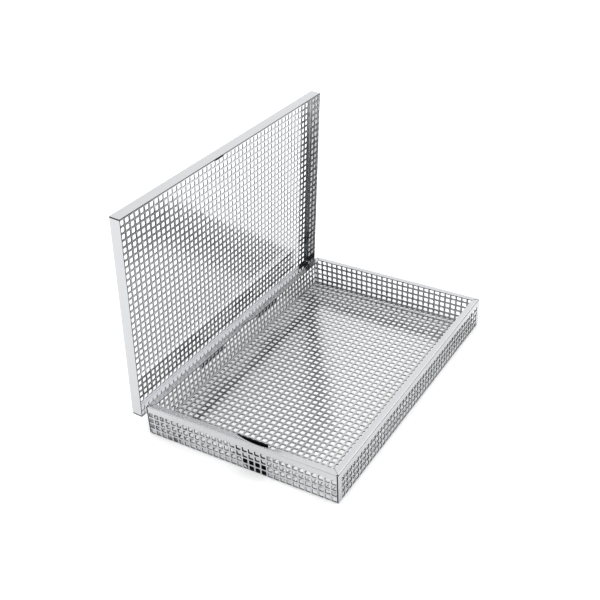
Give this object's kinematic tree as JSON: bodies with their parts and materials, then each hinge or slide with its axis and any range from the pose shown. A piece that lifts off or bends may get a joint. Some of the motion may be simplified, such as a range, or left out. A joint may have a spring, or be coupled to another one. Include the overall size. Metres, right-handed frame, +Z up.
{
  "type": "autoclave basket",
  "caption": "Shallow rectangular perforated steel basket with an inward rim and a hinged perforated lid, for holding instruments during steam sterilising.",
  "frame": {"origin": "middle of the tray's underside, on the surface it stands on", "axes": "+X along the hinge and the long side, +Y from the front to the hinge side, +Z up"},
  "size_m": [0.396, 0.2702, 0.2805],
  "materials": {
    "sheet_steel": "electropolished stainless steel, near mirror",
    "hinge_steel": "polished stainless steel",
    "dark_tag": "blackened steel, satin"
  },
  "bodies": {
    "tray": {"tray_body": "sheet_steel", "hinge_tray_leaf_left": "hinge_steel", "hinge_tray_leaf_right": "hinge_steel", "hinge_pin_left": "hinge_steel", "hinge_pin_right": "hinge_steel", "tag_pocket": "hinge_steel", "id_tag": "dark_tag"},
    "lid": {"lid_panel": "sheet_steel", "hinge_lid_leaf_left": "hinge_steel", "hinge_lid_leaf_right": "hinge_steel", "lid_catch": "hinge_steel"}
  },
  "joints": [
    {"name": "lid_hinge", "type": "hinge", "parent": "tray", "child": "lid", "pos_m": [0, 0.128, 0.024], "axis": [1, 0, 0], "range_deg": [0, 86]}
  ]
}
